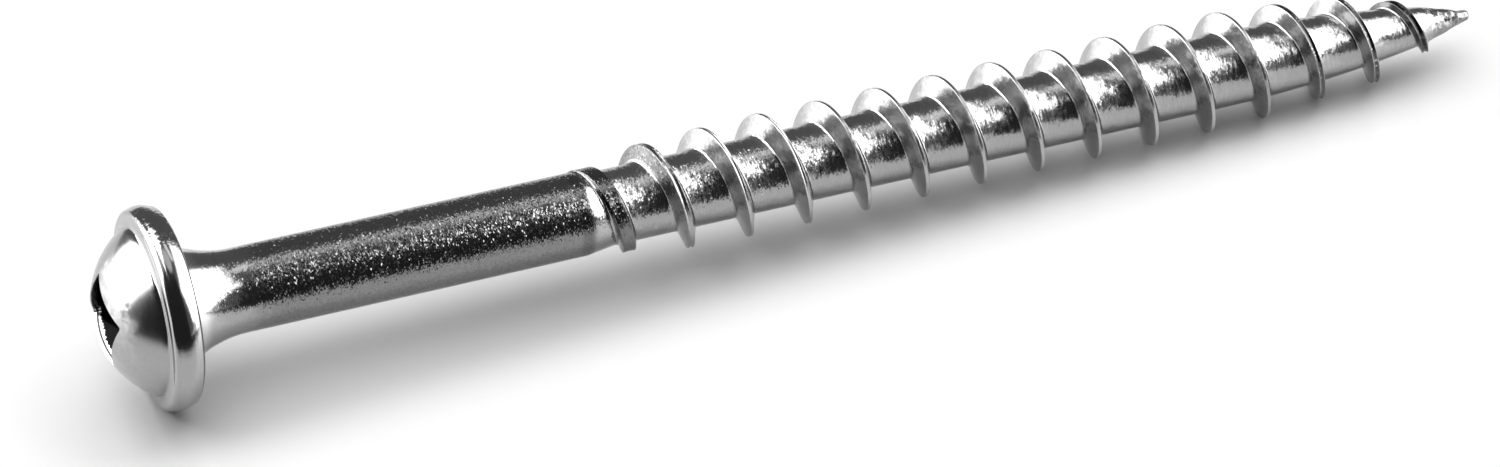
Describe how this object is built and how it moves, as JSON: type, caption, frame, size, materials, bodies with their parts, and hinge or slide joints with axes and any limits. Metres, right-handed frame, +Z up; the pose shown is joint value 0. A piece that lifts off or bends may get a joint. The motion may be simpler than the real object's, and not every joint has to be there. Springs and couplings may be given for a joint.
{
  "type": "pocket hole screw",
  "caption": "Long wood screw with a domed flange head, square recess, smooth shank, coarse right-hand thread and sharp point, for pulling pocket-hole joints tight.",
  "frame": {"origin": "centre of the bounding box's underside, on the surface that the screw lies on", "axes": "+X runs from the head to the point along the screw, which lies tilted 2.2 degrees point down in the XZ plane; +Z up; -Y is the side that the picture shows"},
  "size_m": [0.0668, 0.0092, 0.0093],
  "materials": {
    "zinc_plated_steel": "bright zinc plate, satin on the shank and polished by forming on head and thread"
  },
  "bodies": {
    "root": {"pocket_hole_screw": "zinc_plated_steel"}
  },
  "joints": []
}
